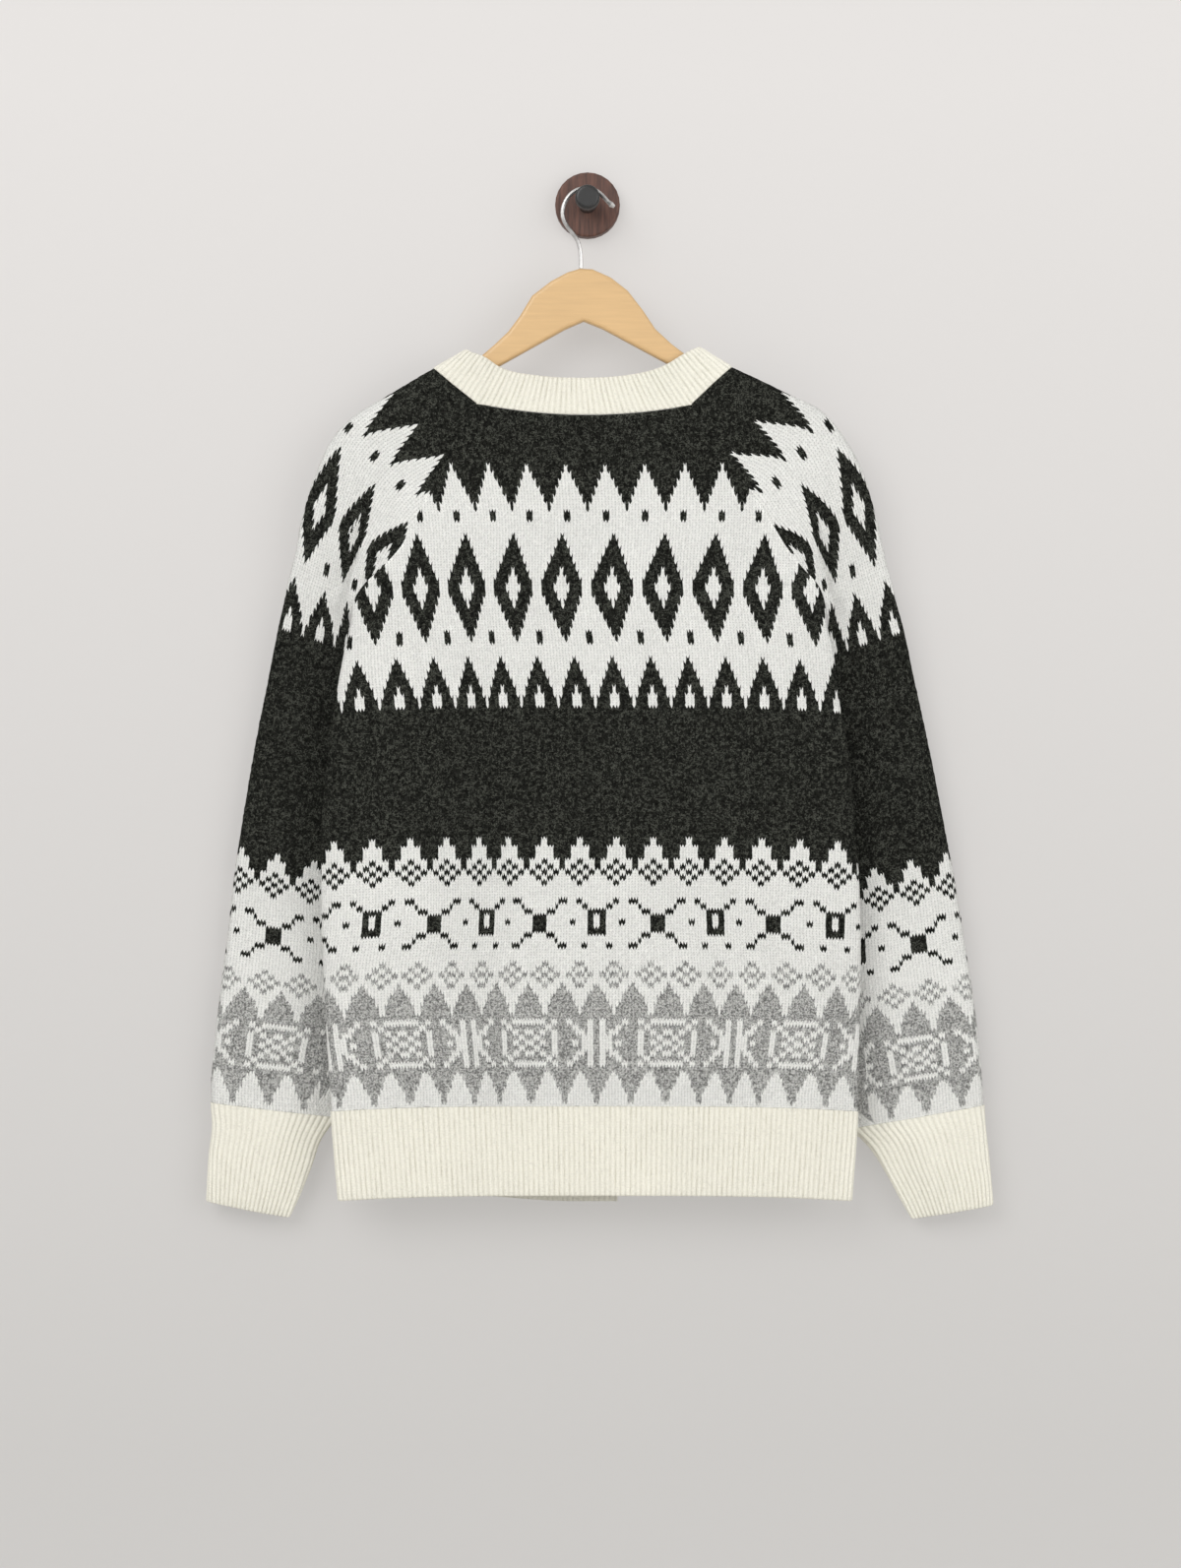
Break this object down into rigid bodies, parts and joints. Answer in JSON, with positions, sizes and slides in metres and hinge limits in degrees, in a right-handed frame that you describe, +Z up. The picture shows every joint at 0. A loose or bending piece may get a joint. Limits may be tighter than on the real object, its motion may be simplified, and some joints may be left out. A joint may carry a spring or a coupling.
{
  "type": "fair isle cardigan on a wooden hanger and wall peg",
  "caption": "Long-sleeved raglan cardigan with ribbed neck, hem, cuffs and front bands, hung with its back to the room on a wooden hanger from a round wall peg.",
  "frame": {"origin": "centre of the peg disc's back face, on the wall", "axes": "+X to the right as one faces the wall, +Y into the wall, +Z up; the garment's back faces -Y"},
  "size_m": [0.6299, 0.0646, 0.8387],
  "materials": {
    "knit": "brushed wool, charcoal, white and grey",
    "rib": "cream wool rib",
    "horn": "cream, polished",
    "beech": "light beech, lacquered",
    "steel": "nickel-plated wire",
    "walnut": "dark walnut, satin",
    "black": "black, satin"
  },
  "bodies": {
    "root": {"back_panel": "knit", "left_front": "knit", "right_front": "knit", "left_sleeve": "knit", "right_sleeve": "knit", "neckband": "rib", "back_hem": "rib", "left_front_hem": "rib", "right_front_hem": "rib", "left_cuff": "rib", "right_cuff": "rib", "button_band": "rib", "buttonhole_band": "rib", "hanger": "beech", "hanger_hook": "steel", "peg_disc": "walnut", "peg_knob": "black", "button_1": "horn", "button_2": "horn", "button_3": "horn", "button_4": "horn", "button_5": "horn", "button_6": "horn", "button_7": "horn"}
  },
  "joints": []
}
